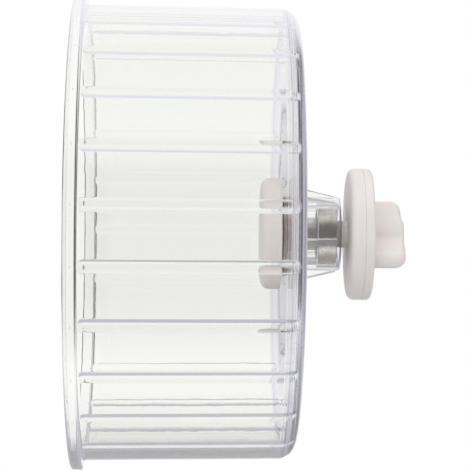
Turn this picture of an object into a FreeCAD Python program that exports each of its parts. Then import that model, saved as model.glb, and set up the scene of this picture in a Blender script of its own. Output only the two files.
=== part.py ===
import FreeCAD
import Part
import math
import os

Vector = FreeCAD.Vector

# Rodent exercise wheel: a clear drum on two ball bearings, held to a cage wall by a screw clamp.
# Millimetres. The wheel spins about Y, the clamp seam lies at Y = 0 and the open mouth faces -Y.

# Drum, one clear moulding.
drum_radius = 83.8
drum_depth = 81.2
drum_wall = 2.7
drum_draft_degrees = 0.69
drum_turn_degrees = 0.8
back_thickness = 2.5
back_corner_round = 6.5
lip_radius = 87.3
lip_width = 4.5
lip_round = 1.2
lip_root_round = 0.8

# Rungs, shallow rounded ribs along the inside of the barrel.
rung_count = 25
rung_width = 4.8
rung_height = 0.9

# Hub barrel behind the back wall, with fins that stiffen it.
hub_radius = 13.7
hub_overhang = 1.5
hub_shoulder_height = 1.6
hub_root_round = 1.0
hub_end_round = 1.0
hub_mouth_round = 0.6
hub_boss_height = 2.1
fin_count = 6
fin_thickness = 2.4
fin_radius_at_back = 18.1
fin_radius_at_end = 14.4
fin_end_setback = 1.6
fin_turn_degrees = 11.3

# Ball bearings, 8 x 22 x 7.
bearing_bore_radius = 4.0
bearing_radius = 11.0
bearing_width = 7.0
bearing_edge_round = 0.3
bearing_stand_out = 2.3
ball_count = 7
ball_radius = 1.985
ball_pitch_radius = 7.5
ball_clearance = 0.06
inner_land_radius = 6.0
outer_land_radius = 9.1
shield_seat_radius = 9.6
shield_thickness = 0.35
shield_recess = 0.5
shield_clearance = 0.15
cage_thickness = 0.9
cage_shield_gap = 0.2

# Axle bolt and the stack that it draws together.
spacer_length = 6.0
bolt_end = 13.4
bolt_end_chamfer = 0.8
bolt_head_across_flats = 13.0
bolt_head_height = 5.3
hex_clearance = 0.1
bolt_clearance = 0.1

# Hub cap, a moulded shell with a boss for the bolt head.
cap_radius = 20.5
cap_thickness = 7.5
cap_wall = 2.0
cap_round = 3.5
cap_running_gap = 0.3
cap_boss_radius = 10.6
cap_rib_count = 6
cap_rib_thickness = 1.4
cap_stub_radius = 5.8
cover_radius = 9.2
cover_thickness = 1.2
cover_clearance = 0.05
cover_round = 0.3
cover_head_gap = 0.2

# Screw clamp: disc, plate and wing knob.
disc_radius = 24.3
disc_thickness = 5.2
disc_back_round = 3.2
disc_seam_round = 0.35
collar_radius = 5.0
collar_length = 4.4
lock_nut_across_flats = 13.0
lock_nut_height = 4.0
lock_nut_recess = 0.2
plate_radius = 24.3
plate_thickness = 3.4
plate_front_round = 2.5
plate_seam_round = 0.35
plate_bolt_clearance = 0.2
knob_height = 12.2
knob_boss_radius = 7.0
wing_reach = 18.0
wing_thickness = 6.6
wing_turn_degrees = 38.0
wing_root_round = 1.6
knob_edge_round = 3.0
knob_end_wall = 1.6
knob_bore_clearance = 0.3
insert_radius = 5.5
insert_length = 8.0
insert_edge_round = 0.3
thread_clearance = 0.05

# Stations along the axle, worked out from the clamp seam towards the mouth.
disc_back = -disc_thickness
rear_bearing_rear = disc_back - collar_length
rear_bearing_front = rear_bearing_rear - bearing_width
front_bearing_rear = rear_bearing_front - spacer_length
front_bearing_front = front_bearing_rear - bearing_width
back_inner = front_bearing_front + bearing_stand_out
back_outer = back_inner + back_thickness
hub_boss_front = back_inner - hub_boss_height
hub_end = rear_bearing_rear + hub_overhang
mouth = back_outer - drum_depth
lip_back = mouth + lip_width
cap_back = front_bearing_front - cap_running_gap
cap_front = cap_back - cap_thickness
cover_seat = cap_front + cover_thickness
bolt_head_top = cover_seat + cover_head_gap
bolt_head_seat = bolt_head_top + bolt_head_height
lock_nut_front = -lock_nut_recess
lock_nut_back = lock_nut_front - lock_nut_height
knob_base = plate_thickness
knob_end = knob_base + knob_height

origin = Vector(0, 0, 0)
axle_direction = Vector(0, 1, 0)
full_turn = 360.0
longest_round_share = 0.45


def rounded_face(corners):
    """A flat face whose outline runs through corners of (radius, y, round), rounds made as tangent arcs."""
    points = [Vector(radius, y, 0) for radius, y, _ in corners]
    entries = []
    exits = []
    arcs = []
    for index, (_, _, wanted_round) in enumerate(corners):
        corner = points[index]
        to_last = points[index - 1] - corner
        to_next = points[(index + 1) % len(points)] - corner
        half_angle = to_last.getAngle(to_next) / 2
        room = min(to_last.Length, to_next.Length) * longest_round_share
        reach = min(wanted_round / math.tan(half_angle), room)
        arc_radius = reach * math.tan(half_angle)
        to_last.normalize()
        to_next.normalize()
        inward = (to_last + to_next).normalize()
        entries.append(corner + to_last * reach)
        exits.append(corner + to_next * reach)
        middle = corner + inward * (arc_radius / math.sin(half_angle) - arc_radius)
        arcs.append(middle if wanted_round > 0 else None)
    edges = []
    for index, middle in enumerate(arcs):
        if middle is not None:
            edges.append(Part.Arc(entries[index], middle, exits[index]).toShape())
        edges.append(Part.LineSegment(exits[index], entries[(index + 1) % len(arcs)]).toShape())
    return Part.Face(Part.Wire(edges))


def turned(corners):
    """A solid of revolution about the axle from an outline of (radius, y, round) corners."""
    return rounded_face(corners).revolve(origin, axle_direction, full_turn)


def rod(radius, start, end):
    """A round bar on the axle between two stations."""
    return Part.makeCylinder(radius, end - start, Vector(0, start, 0), axle_direction)


def hexagon_bar(across_flats, start, end):
    """A hexagonal bar on the axle between two stations."""
    sides = 6
    corner_radius = across_flats / 2 / math.cos(math.pi / sides)
    corners = []
    for side in range(sides + 1):
        angle = 2 * math.pi * side / sides
        corners.append(Vector(corner_radius * math.cos(angle), start, corner_radius * math.sin(angle)))
    return Part.Face(Part.makePolygon(corners)).extrude(Vector(0, end - start, 0))


def spun(shape, degrees):
    """A copy of a shape turned about the axle."""
    copy = shape.copy()
    copy.rotate(origin, axle_direction, degrees)
    return copy


def ring_of(shape, count, first_degrees):
    """Copies of a shape spaced evenly about the axle."""
    return [spun(shape, first_degrees + full_turn * index / count) for index in range(count)]


def drum_outer(y):
    """Outside radius of the drafted barrel at a station."""
    return drum_radius - (y - mouth) * math.tan(math.radians(drum_draft_degrees))


def drum_inner(y):
    """Inside radius of the drafted barrel at a station."""
    return drum_outer(y) - drum_wall


def make_rung():
    """One round rod mostly sunk in the wall on the +X side, with a ball end, trimmed inside the wall."""
    half = rung_width / 2
    rod_radius = (rung_height ** 2 + half ** 2) / (2 * rung_height)
    depth = rod_radius - rung_height
    start = lip_back + half
    back_middle = (back_inner + back_outer) / 2
    front_centre = Vector(drum_inner(start) + depth, start, 0)
    back_centre = Vector(drum_inner(back_middle) + depth, back_middle, 0)
    run = back_centre - front_centre
    bar = Part.makeCylinder(rod_radius, run.Length, front_centre, run)
    mid_wall = turned([
        (0, mouth, 0),
        (drum_inner(mouth) + drum_wall / 2, mouth, 0),
        (drum_inner(back_middle) + drum_wall / 2, back_middle, max(back_corner_round - drum_wall / 2, 0)),
        (0, back_middle, 0),
    ])
    return bar.fuse(Part.makeSphere(rod_radius, front_centre)).common(mid_wall)


def make_fin():
    """One tapering plate on the +X side between the back wall and the hub barrel."""
    root = (bearing_radius + hub_radius) / 2
    foot = (back_inner + back_outer) / 2
    tip = hub_end - fin_end_setback
    corners = [(root, foot), (fin_radius_at_back, foot), (fin_radius_at_end, tip), (root, tip)]
    side = -fin_thickness / 2
    outline = [Vector(radius, y, side) for radius, y in corners + corners[:1]]
    return Part.Face(Part.makePolygon(outline)).extrude(Vector(0, 0, fin_thickness))


def make_drum():
    """Lip, barrel, rungs, back wall, hub barrel and fins as one moulding."""
    barrel_outside = [
        (lip_radius, mouth, lip_round),
        (lip_radius, lip_back, lip_round),
        (drum_outer(lip_back), lip_back, lip_root_round),
        (drum_outer(back_outer), back_outer, back_corner_round),
    ]
    hub_outline = [
        (hub_radius, back_outer, hub_root_round),
        (hub_radius, hub_end, hub_end_round),
        (bearing_radius, hub_end, hub_mouth_round),
        (bearing_radius, rear_bearing_front, 0),
        (bearing_radius - hub_shoulder_height, rear_bearing_front, 0),
        (bearing_radius - hub_shoulder_height, front_bearing_rear, 0),
        (bearing_radius, front_bearing_rear, 0),
        (bearing_radius, hub_boss_front, 0),
        (hub_radius, hub_boss_front, hub_mouth_round),
        (hub_radius, back_inner, 0),
    ]
    barrel_inside = [
        (drum_inner(back_inner), back_inner, max(back_corner_round - drum_wall, 0)),
        (drum_inner(mouth), mouth, lip_round),
    ]
    shell = turned(barrel_outside + hub_outline + barrel_inside)
    rungs = ring_of(make_rung(), rung_count, full_turn / rung_count / 2)
    fins = ring_of(make_fin(), fin_count, fin_turn_degrees)
    return spun(shell.fuse(rungs + fins).removeSplitter(), drum_turn_degrees)


def make_bearing(front):
    """The five pieces of one shielded ball bearing whose front face lies at a station."""
    rear = front + bearing_width
    middle = (front + rear) / 2
    seat_depth = shield_recess + shield_thickness
    race = Part.makeTorus(
        ball_pitch_radius, ball_radius + ball_clearance, Vector(0, middle, 0), axle_direction
    )
    outer_ring = turned([
        (bearing_radius, front, bearing_edge_round),
        (bearing_radius, rear, bearing_edge_round),
        (shield_seat_radius, rear, 0),
        (shield_seat_radius, rear - seat_depth, 0),
        (outer_land_radius, rear - seat_depth, 0),
        (outer_land_radius, front + seat_depth, 0),
        (shield_seat_radius, front + seat_depth, 0),
        (shield_seat_radius, front, 0),
    ]).cut(race)
    inner_ring = turned([
        (bearing_bore_radius, front, 0),
        (inner_land_radius, front, bearing_edge_round),
        (inner_land_radius, rear, bearing_edge_round),
        (bearing_bore_radius, rear, 0),
    ]).cut(race)
    ball = Part.makeSphere(ball_radius, Vector(ball_pitch_radius, middle, 0))
    pocket = Part.makeCylinder(
        ball_radius + ball_clearance, ball_pitch_radius * 2, Vector(0, middle, 0), Vector(1, 0, 0)
    )
    cage_front = front + seat_depth + cage_shield_gap
    cage_rear = rear - seat_depth - cage_shield_gap
    cage_inside = rod(ball_pitch_radius - cage_thickness / 2, cage_front, cage_rear)
    cage = rod(ball_pitch_radius + cage_thickness / 2, cage_front, cage_rear).cut(cage_inside)
    shields = []
    for shield_front in (front + shield_recess, rear - seat_depth):
        disc = rod(shield_seat_radius, shield_front, shield_front + shield_thickness)
        hole = rod(inner_land_radius + shield_clearance, shield_front, shield_front + shield_thickness)
        shields.append(disc.cut(hole))
    return {
        "outer_ring": outer_ring,
        "inner_ring": inner_ring,
        "balls": Part.makeCompound(ring_of(ball, ball_count, 0)),
        "cage": cage.cut(ring_of(pocket, ball_count, 0)),
        "shields": Part.makeCompound(shields),
    }


def make_axle_bolt():
    """Hexagon-head bolt through the whole stack; its thread is a plain cylinder."""
    shank = turned([
        (0, bolt_head_top, 0),
        (bearing_bore_radius, bolt_head_top, 0),
        (bearing_bore_radius, bolt_end - bolt_end_chamfer, 0),
        (bearing_bore_radius - bolt_end_chamfer, bolt_end, 0),
        (0, bolt_end, 0),
    ])
    head = hexagon_bar(bolt_head_across_flats, bolt_head_top, bolt_head_seat)
    return head.fuse(shank).removeSplitter()


def make_hub_cap():
    """Rounded cap, hollow behind, with a ribbed boss that holds the bolt head from turning."""
    shell = turned([
        (0, cap_front, 0),
        (cap_radius, cap_front, cap_round),
        (cap_radius, cap_back, 0),
        (cap_radius - cap_wall, cap_back, 0),
        (cap_radius - cap_wall, cap_front + cap_wall, max(cap_round - cap_wall, 0)),
        (0, cap_front + cap_wall, 0),
    ])
    boss = rod(cap_boss_radius, cap_front + cap_wall / 2, cap_back)
    stub = rod(cap_stub_radius, cap_back, front_bearing_front)
    rib_inside = (cover_radius + cap_boss_radius) / 2
    rib = Part.makeBox(
        cap_radius - cap_wall / 2 - rib_inside,
        cap_back - cap_front - cap_wall / 2,
        cap_rib_thickness,
        Vector(rib_inside, cap_front + cap_wall / 2, -cap_rib_thickness / 2),
    )
    body = shell.fuse([boss, stub] + ring_of(rib, cap_rib_count, 0))
    envelope = turned([
        (0, cap_front, 0),
        (cap_radius, cap_front, cap_round),
        (cap_radius, front_bearing_front, 0),
        (0, front_bearing_front, 0),
    ])
    body = body.common(envelope)
    head_pocket = hexagon_bar(bolt_head_across_flats + 2 * hex_clearance, cover_seat, bolt_head_seat)
    cover_recess = rod(cover_radius, cap_front, cover_seat)
    bolt_hole = rod(bearing_bore_radius + bolt_clearance, bolt_head_seat, front_bearing_front)
    return body.cut([head_pocket, cover_recess, bolt_hole]).removeSplitter()


def make_hub_cap_cover():
    """Round push-in cover that closes the bolt head's recess flush with the cap."""
    edge = cover_radius - cover_clearance
    return turned([
        (0, cap_front, 0),
        (edge, cap_front, cover_round),
        (edge, cover_seat, 0),
        (0, cover_seat, 0),
    ])


def make_clamp_disc():
    """Disc that bears on the cage wall from inside, with the collar that spaces it from the bearing."""
    body = turned([
        (bearing_bore_radius + bolt_clearance, rear_bearing_rear, 0),
        (collar_radius, rear_bearing_rear, 0),
        (collar_radius, disc_back, 0),
        (disc_radius, disc_back, disc_back_round),
        (disc_radius, 0, disc_seam_round),
        (bearing_bore_radius + bolt_clearance, 0, 0),
    ])
    return body.cut(hexagon_bar(lock_nut_across_flats + 2 * hex_clearance, lock_nut_back, 0))


def make_lock_nut():
    """Thin hexagon nut sunk in the clamp disc; its thread is a plain bore."""
    body = hexagon_bar(lock_nut_across_flats, lock_nut_back, lock_nut_front)
    return body.cut(rod(bearing_bore_radius, lock_nut_back, lock_nut_front))


def make_outer_clamp_plate():
    """Plate that bears on the cage wall from outside and slides on the bolt."""
    bore = bearing_bore_radius + plate_bolt_clearance
    return turned([
        (bore, 0, 0),
        (plate_radius, 0, plate_seam_round),
        (plate_radius, plate_thickness, plate_front_round),
        (bore, plate_thickness, 0),
    ])


def make_wing_knob():
    """Round boss with two wings, rounded at its outer end, hollow for the insert and the bolt end."""
    half = wing_thickness / 2
    tip_centre = wing_reach - half
    boss = rod(knob_boss_radius, knob_base, knob_end)
    bar = Part.makeBox(2 * tip_centre, knob_height, wing_thickness, Vector(-tip_centre, knob_base, -half))
    tips = []
    for side in (-tip_centre, tip_centre):
        tips.append(Part.makeCylinder(half, knob_height, Vector(side, knob_base, 0), axle_direction))
    body = boss.fuse([bar] + tips).removeSplitter()
    tolerance = 1e-4
    roots = []
    for edge in body.Edges:
        box = edge.BoundBox
        from_axle = math.hypot(edge.CenterOfMass.x, edge.CenterOfMass.z)
        if box.YLength > knob_height - tolerance and abs(from_axle - knob_boss_radius) < tolerance:
            roots.append(edge)
    body = body.makeFillet(wing_root_round, roots)
    rim = [edge for edge in body.Edges if edge.BoundBox.YMin > knob_end - tolerance]
    body = body.makeFillet(knob_edge_round, rim)
    insert_pocket = rod(insert_radius, knob_base, knob_base + insert_length)
    bolt_space = rod(bearing_bore_radius + knob_bore_clearance, knob_base, knob_end - knob_end_wall)
    return spun(body.cut([insert_pocket, bolt_space]), wing_turn_degrees)


def make_knob_insert():
    """Metal bush pressed into the knob; its thread is a plain bore."""
    bore = bearing_bore_radius + thread_clearance
    return turned([
        (bore, knob_base, 0),
        (insert_radius, knob_base, insert_edge_round),
        (insert_radius, knob_base + insert_length, insert_edge_round),
        (bore, knob_base + insert_length, 0),
    ])


nodes = {
    "drum": make_drum(),
    "axle_bolt": make_axle_bolt(),
    "hub_cap": make_hub_cap(),
    "hub_cap_cover": make_hub_cap_cover(),
    "bearing_spacer": rod(inner_land_radius, front_bearing_rear, rear_bearing_front).cut(
        rod(bearing_bore_radius, front_bearing_rear, rear_bearing_front)
    ),
    "clamp_disc": make_clamp_disc(),
    "lock_nut": make_lock_nut(),
    "outer_clamp_plate": make_outer_clamp_plate(),
    "wing_knob": make_wing_knob(),
    "knob_insert": make_knob_insert(),
}
for bearing_name, bearing_front in (("front", front_bearing_front), ("rear", rear_bearing_front)):
    for piece_name, piece in make_bearing(bearing_front).items():
        nodes[f"{bearing_name}_bearing_{piece_name}"] = piece

os.makedirs("parts", exist_ok=True)
for node_name, node_shape in nodes.items():
    node_shape.exportStep(f"parts/{node_name}.step")
    print(node_name, len(node_shape.Solids), node_shape.isValid(), round(node_shape.Volume, 1))
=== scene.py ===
import bpy
import numpy as np
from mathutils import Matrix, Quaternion, Vector


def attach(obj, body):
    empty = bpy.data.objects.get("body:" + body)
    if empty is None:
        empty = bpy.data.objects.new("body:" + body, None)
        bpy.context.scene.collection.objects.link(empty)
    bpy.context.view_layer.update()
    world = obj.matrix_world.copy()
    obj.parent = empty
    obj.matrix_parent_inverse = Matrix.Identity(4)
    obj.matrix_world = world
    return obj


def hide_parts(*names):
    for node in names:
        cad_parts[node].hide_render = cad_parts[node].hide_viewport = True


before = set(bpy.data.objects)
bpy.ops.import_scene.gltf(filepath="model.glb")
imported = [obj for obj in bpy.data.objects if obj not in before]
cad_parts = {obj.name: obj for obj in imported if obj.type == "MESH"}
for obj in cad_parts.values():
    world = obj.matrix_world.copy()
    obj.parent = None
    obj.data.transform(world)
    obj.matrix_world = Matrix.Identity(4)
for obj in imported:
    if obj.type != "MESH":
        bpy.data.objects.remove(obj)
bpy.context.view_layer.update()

# AXLE BOLT
# A zinc-plated M8 hexagon-head bolt that runs from the hub cap through both bearings to the knob.
# Cold-headed and thread-rolled; the cap keeps its head from turning.
MM = 0.001
STEEL_ZINC = (0.60, 0.60, 0.59)
STEEL_ZINC_DULL = (0.47, 0.47, 0.47)
MARK_CLOUDS = 240.0
MARK_TONES = (0.35, 0.7)
MARK_POLISH = (0.3, 0.75)
MARK_STRENGTH = 0.35
BOLT_COLUMNS = 96
BOLT_RADIUS = 4.0
BOLT_HEAD_TOP = -36.0
BOLT_HEAD_SEAT = -30.7
BOLT_HEAD_FLAT = 6.5
BOLT_HEAD_CONE = ((5.6, 0.0), (6.35, 0.06), (6.9, 0.34))
BOLT_HEAD_CONE_END = 0.75
BOLT_HEAD_EDGE = 0.3
BOLT_HEAD_DRAW = 0.02
BOLT_NECK_WIDE = 0.35
BOLT_NECK_HIGH = 0.3
BOLT_END = 13.4
BOLT_END_RADIUS = 3.1
BOLT_END_CHAMFER = 0.8
BOLT_END_GAP = 0.02
THREAD_START = -3.4
THREAD_RUN_OUT = 2.5
THREAD_PITCH = 1.25
THREAD_DEPTH = 0.62
THREAD_CREST = 0.12
THREAD_FLANK = 0.62
THREAD_ROWS = 12


def rounded_outline(corners):
    """Outline through (radius, y, round, points) corners in mm. A corner with one point stays as it is. Any other
    becomes a tangent arc of that many points, between two more points a little way out along the flats beside it,
    so that the flats shade flat."""
    corner = np.array([entry[:2] for entry in corners], float)
    to_last = np.roll(corner, 1, 0) - corner
    to_next = np.roll(corner, -1, 0) - corner
    room = 0.45 * np.minimum(np.linalg.norm(to_last, axis=1), np.linalg.norm(to_next, axis=1))
    to_last /= np.linalg.norm(to_last, axis=1, keepdims=True)
    to_next /= np.linalg.norm(to_next, axis=1, keepdims=True)
    half = np.arccos(np.clip((to_last * to_next).sum(1), -1, 1)) / 2
    runs = []
    for index, (_, _, wanted, points) in enumerate(corners):
        if points == 1:
            runs.append(corner[index:index + 1])
            continue
        reach = min(wanted / np.tan(half[index]), room[index])
        radius = reach * np.tan(half[index])
        middle = to_last[index] + to_next[index]
        centre = corner[index] + middle / np.linalg.norm(middle) * radius / np.sin(half[index])
        entry = corner[index] + to_last[index] * reach
        leave = corner[index] + to_next[index] * reach
        turn = np.pi - 2 * half[index]
        share = np.linspace(0, 1, points)[:, None]
        arc = np.sin((1 - share) * turn) * (entry - centre) + np.sin(share * turn) * (leave - centre)
        lead = min(0.35 * radius + 0.02, 0.3 * room[index])
        runs.append(np.vstack([entry + to_last[index] * lead, centre + arc / np.sin(turn),
                               leave + to_next[index] * lead]))
    return np.vstack(runs)


def grid_faces(rows, columns, closed_rows):
    """Quads of a grid that closes on itself along its columns and, if asked, from its last row to its first."""
    index = np.arange(rows * columns).reshape(rows, columns)
    below = np.roll(index, -1, 0) if closed_rows else index[1:]
    here = index if closed_rows else index[:-1]
    return np.stack([here, np.roll(here, -1, 1), np.roll(below, -1, 1), below], -1).reshape(-1, 4)


def pole_faces(rows, columns):
    """Triangles that close a grid's first and last rows on two points numbered straight after the grid."""
    first = np.arange(columns)
    last = first + (rows - 1) * columns
    count = rows * columns
    start = np.stack([np.full(columns, count), np.roll(first, -1), first], -1)
    end = np.stack([np.full(columns, count + 1), last, np.roll(last, -1)], -1)
    return np.vstack([start, end])


def shell_of(grid, poles=None):
    """Points and faces of a closed surface over a grid of points in mm. Without poles the grid's last row joins its
    first. The faces are turned about where the enclosed volume comes out negative, so that they look outwards."""
    rows, columns = grid.shape[:2]
    points = grid.reshape(-1, 3)
    quads = grid_faces(rows, columns, poles is None)
    triangles = np.vstack([quads[:, [0, 1, 2]], quads[:, [0, 2, 3]]])
    faces = quads.tolist()
    if poles is not None:
        points = np.vstack([points, poles])
        ends = pole_faces(rows, columns)
        triangles = np.vstack([triangles, ends])
        faces += ends.tolist()
    a, b, c = points[triangles].transpose(1, 0, 2)
    if np.einsum("ij,ij->", a, np.cross(b, c)) < 0:
        faces = [face[::-1] for face in faces]
    return points, faces


def around(columns):
    """Even angles of one full turn, from zero."""
    return np.arange(columns) * (2 * np.pi / columns)


def about_axle(radius, y, angle):
    """Points at a radius and a station, at an angle about the axle that runs from +X down towards -Z."""
    radius, y, angle = np.broadcast_arrays(radius, y, angle)
    return np.stack([radius * np.cos(angle), y, -radius * np.sin(angle)], -1)


def turned(outline, columns=180):
    """Surface of revolution: an outline of (radius, y) carried a full turn about the axle. An outline that starts and
    ends on the axle closes in a point at each end, and any other joins its last point to its first."""
    angle = around(columns)
    if outline[0, 0] > 0:
        return shell_of(about_axle(outline[:, :1], outline[:, 1:], angle))
    ring = outline[1:-1]
    poles = about_axle(0.0, outline[[0, -1], 1], 0.0)
    return shell_of(about_axle(ring[:, :1], ring[:, 1:], angle), poles)


def hexagon_radius(flat, angle):
    """Radius of a hexagon at an angle: half its width across flats over the cosine of the angle from the middle of
    the nearest flat."""
    return flat / np.cos((angle + np.pi / 6) % (np.pi / 3) - np.pi / 6)


def add_piece(name, shells, material):
    """One smooth mesh object from closed shells given in mm, with its material."""
    offsets = np.cumsum([0] + [len(points) for points, _ in shells])
    points = np.vstack([points for points, _ in shells]) * MM
    faces = [[corner + offset for corner in face] for offset, (_, shell) in zip(offsets, shells) for face in shell]
    mesh = bpy.data.meshes.new(name)
    mesh.from_pydata(points.tolist(), [], faces)
    mesh.shade_smooth()
    mesh.materials.append(material)
    piece = bpy.data.objects.new(name, mesh)
    bpy.context.scene.collection.objects.link(piece)
    return piece


def add_node(tree, kind, inputs=None, **settings):
    """Add a shader node, set its properties, and feed its inputs from sockets or with plain values."""
    made = tree.nodes.new("ShaderNode" + kind)
    for key, value in settings.items():
        setattr(made, key, value)
    for key, value in (inputs or {}).items():
        if isinstance(value, bpy.types.NodeSocket):
            tree.links.new(value, made.inputs[key])
        else:
            made.inputs[key].default_value = value
    return made


def new_group(name, inputs, outputs):
    """An empty node group with named value inputs and outputs, and its two end nodes."""
    group = bpy.data.node_groups.new(name, "ShaderNodeTree")
    for socket, start in inputs.items():
        group.interface.new_socket(socket, in_out="INPUT", socket_type="NodeSocketFloat").default_value = start
    for socket in outputs:
        group.interface.new_socket(socket, in_out="OUTPUT", socket_type="NodeSocketFloat")
    return group, group.nodes.new("NodeGroupInput").outputs, group.nodes.new("NodeGroupOutput").inputs


def place_group(tree, group, **values):
    """A node group placed in a material with its own values."""
    made = tree.nodes.new("ShaderNodeGroup")
    made.node_tree = group
    for key, value in values.items():
        made.inputs[key].default_value = value
    return made.outputs


def blend_colours(tree, factor, first, second):
    """Colour that goes from the first to the second as the factor goes from 0 to 1. Each is a socket or a colour."""
    ends = [end if isinstance(end, bpy.types.NodeSocket) else (*end, 1.0) for end in (first, second)]
    return add_node(tree, "Mix", {0: factor, 6: ends[0], 7: ends[1]}, data_type="RGBA").outputs[2]


def spread(tree, value, low, high, out_low=0.0, out_high=1.0):
    """A value's range from low to high mapped smoothly onto another range."""
    mapped = add_node(tree, "MapRange", {0: value, 1: low, 2: high, 3: out_low, 4: out_high},
                      interpolation_type="SMOOTHSTEP")
    return mapped.outputs[0]


def new_material(name):
    """A material with its node tree and its Principled shader."""
    material = bpy.data.materials.new(name)
    material.use_nodes = True
    return material, material.node_tree, material.node_tree.nodes["Principled BSDF"].inputs


def object_place(tree):
    """Object coordinates as one vector and as x, y and z, and the distance from the axle."""
    position = add_node(tree, "TexCoord").outputs["Object"]
    axes = add_node(tree, "SeparateXYZ", {0: position}).outputs
    section = add_node(tree, "CombineXYZ", {0: axes[0], 2: axes[2]}).outputs[0]
    from_axle = add_node(tree, "VectorMath", {0: section}, operation="LENGTH").outputs["Value"]
    return position, axes, from_axle


# Tool marks left by turning or grinding: noise over radius and station, so that its lines run round the axle,
# and a cloudy mask for uneven plating.
lathe_marks, lathe_in, lathe_out = new_group("lathe_marks", {"Fineness": 9000.0}, ["Lines", "Cloud"])
position, axes, from_axle = object_place(lathe_marks)
ring_place = add_node(lathe_marks, "CombineXYZ", {0: from_axle, 1: axes[1]}).outputs[0]
lines = add_node(lathe_marks, "TexNoise", {"Vector": ring_place, "Scale": lathe_in["Fineness"], "Detail": 3.0})
cloud = add_node(lathe_marks, "TexNoise", {"Vector": position, "Scale": MARK_CLOUDS, "Detail": 4.0})
lathe_marks.links.new(lines.outputs[0], lathe_out["Lines"])
lathe_marks.links.new(cloud.outputs[0], lathe_out["Cloud"])


def metal_finish(name, bright, dull, roughness, fineness, depth):
    """Metal with tool marks round the axle: colour and roughness follow the cloudy mask, fine lines give a bump."""
    material, tree, shader = new_material(name)
    marks = place_group(tree, lathe_marks, Fineness=fineness)
    colour = blend_colours(tree, spread(tree, marks["Cloud"], *MARK_TONES), bright, dull)
    tree.links.new(colour, shader["Base Color"])
    tree.links.new(spread(tree, marks["Cloud"], *MARK_POLISH, *roughness), shader["Roughness"])
    bump = add_node(tree, "Bump", {"Height": marks["Lines"], "Strength": MARK_STRENGTH, "Distance": depth})
    tree.links.new(bump.outputs[0], shader["Normal"])
    shader["Metallic"].default_value = 1.0
    return material


zinc_plate = metal_finish("zinc_plate", STEEL_ZINC, STEEL_ZINC_DULL,
                          roughness=(0.24, 0.42), fineness=5200.0, depth=2e-5)

# The bolt is one grid of radius over angle and station: a hexagon whose corners are cut by a cone, then the shank,
# whose radius follows the thread's flat-topped wave along the helix and drops to the end chamfer.
head_angle = around(BOLT_COLUMNS)
hexagon = hexagon_radius(BOLT_HEAD_FLAT, head_angle)
thread_y = np.arange(THREAD_START, BOLT_END - BOLT_END_GAP, THREAD_PITCH / THREAD_ROWS)[:, None]
wave = np.abs(((thread_y / THREAD_PITCH - head_angle / (2 * np.pi)) % 1.0) * 2 - 1)
cut = np.clip((wave - THREAD_CREST) / THREAD_FLANK, 0, 1)
cut = cut * np.clip((thread_y - THREAD_START) / THREAD_RUN_OUT, 0, 1)
end_chamfer = BOLT_RADIUS - BOLT_END_CHAMFER + (BOLT_END - thread_y)
thread_radius = np.minimum(BOLT_RADIUS - THREAD_DEPTH * cut, end_chamfer)
head_rows = [(np.minimum(hexagon, radius), BOLT_HEAD_TOP + depth) for radius, depth in BOLT_HEAD_CONE] + [
    (hexagon, BOLT_HEAD_TOP + BOLT_HEAD_CONE_END),
    (hexagon, BOLT_HEAD_SEAT - BOLT_HEAD_EDGE),
    (hexagon - BOLT_HEAD_DRAW, BOLT_HEAD_SEAT),
    (np.full(BOLT_COLUMNS, BOLT_RADIUS + BOLT_NECK_WIDE), BOLT_HEAD_SEAT),
    (np.full(BOLT_COLUMNS, BOLT_RADIUS), BOLT_HEAD_SEAT + BOLT_NECK_HIGH),
]
bolt_radius = np.vstack([radius for radius, _ in head_rows] + [thread_radius, np.full(BOLT_COLUMNS, BOLT_END_RADIUS)])
bolt_y = np.concatenate([[y for _, y in head_rows], thread_y[:, 0], [BOLT_END]])[:, None]
bolt_ends = about_axle(0.0, np.array([BOLT_HEAD_TOP, BOLT_END]), 0.0)
axle_bolt = add_piece("axle_bolt_threaded", [shell_of(about_axle(bolt_radius, bolt_y, head_angle), bolt_ends)],
                      zinc_plate)
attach(axle_bolt, "axle")
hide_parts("axle_bolt")

# HUB CAP
# A warm white moulded cap inside the drum, hollow behind, with a ribbed boss round the bolt head.
# Its stub bears on the front bearing's inner ring.
WHITE_PLASTIC = (0.82, 0.772, 0.748)
WHITE_PLASTIC_SHADE = (0.775, 0.722, 0.700)
WHITE_DRIFT = (0.3, 0.72)
WHITE_SATIN = (0.25, 0.75, 0.36, 0.5)
SCRATCH_TURN = (0.5, 0.3, 0.9)
SCRATCH_STRETCH = (60.0, 1400.0, 900.0)
SCRATCH_LEVELS = (0.66, 0.78)
CAP_RADIUS = 20.5
CAP_INSIDE = 18.5
CAP_FRONT = -37.4
CAP_BACK = -30.15
CAP_FLOOR = -35.3
CAP_BOSS = 10.6
CAP_STUB = 5.8
CAP_SEAT = -29.6
CAP_RIBS = 6
CAP_RIB_HALF = 0.7
CAP_RIB_FLANK = 0.02
CAP_RIB_TOP = -30.75
CAP_RIB_COLUMNS = (0.0, 0.4, 0.62, 0.7, 0.72, 0.78, 1.0)
CAP_GAP_COLUMNS = 18
BOLT_HOLE = 4.1
HEAD_POCKET = 6.7
COVER_RADIUS = 9.2
COVER_SEAT = -36.2
SLACK = 0.01

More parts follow.
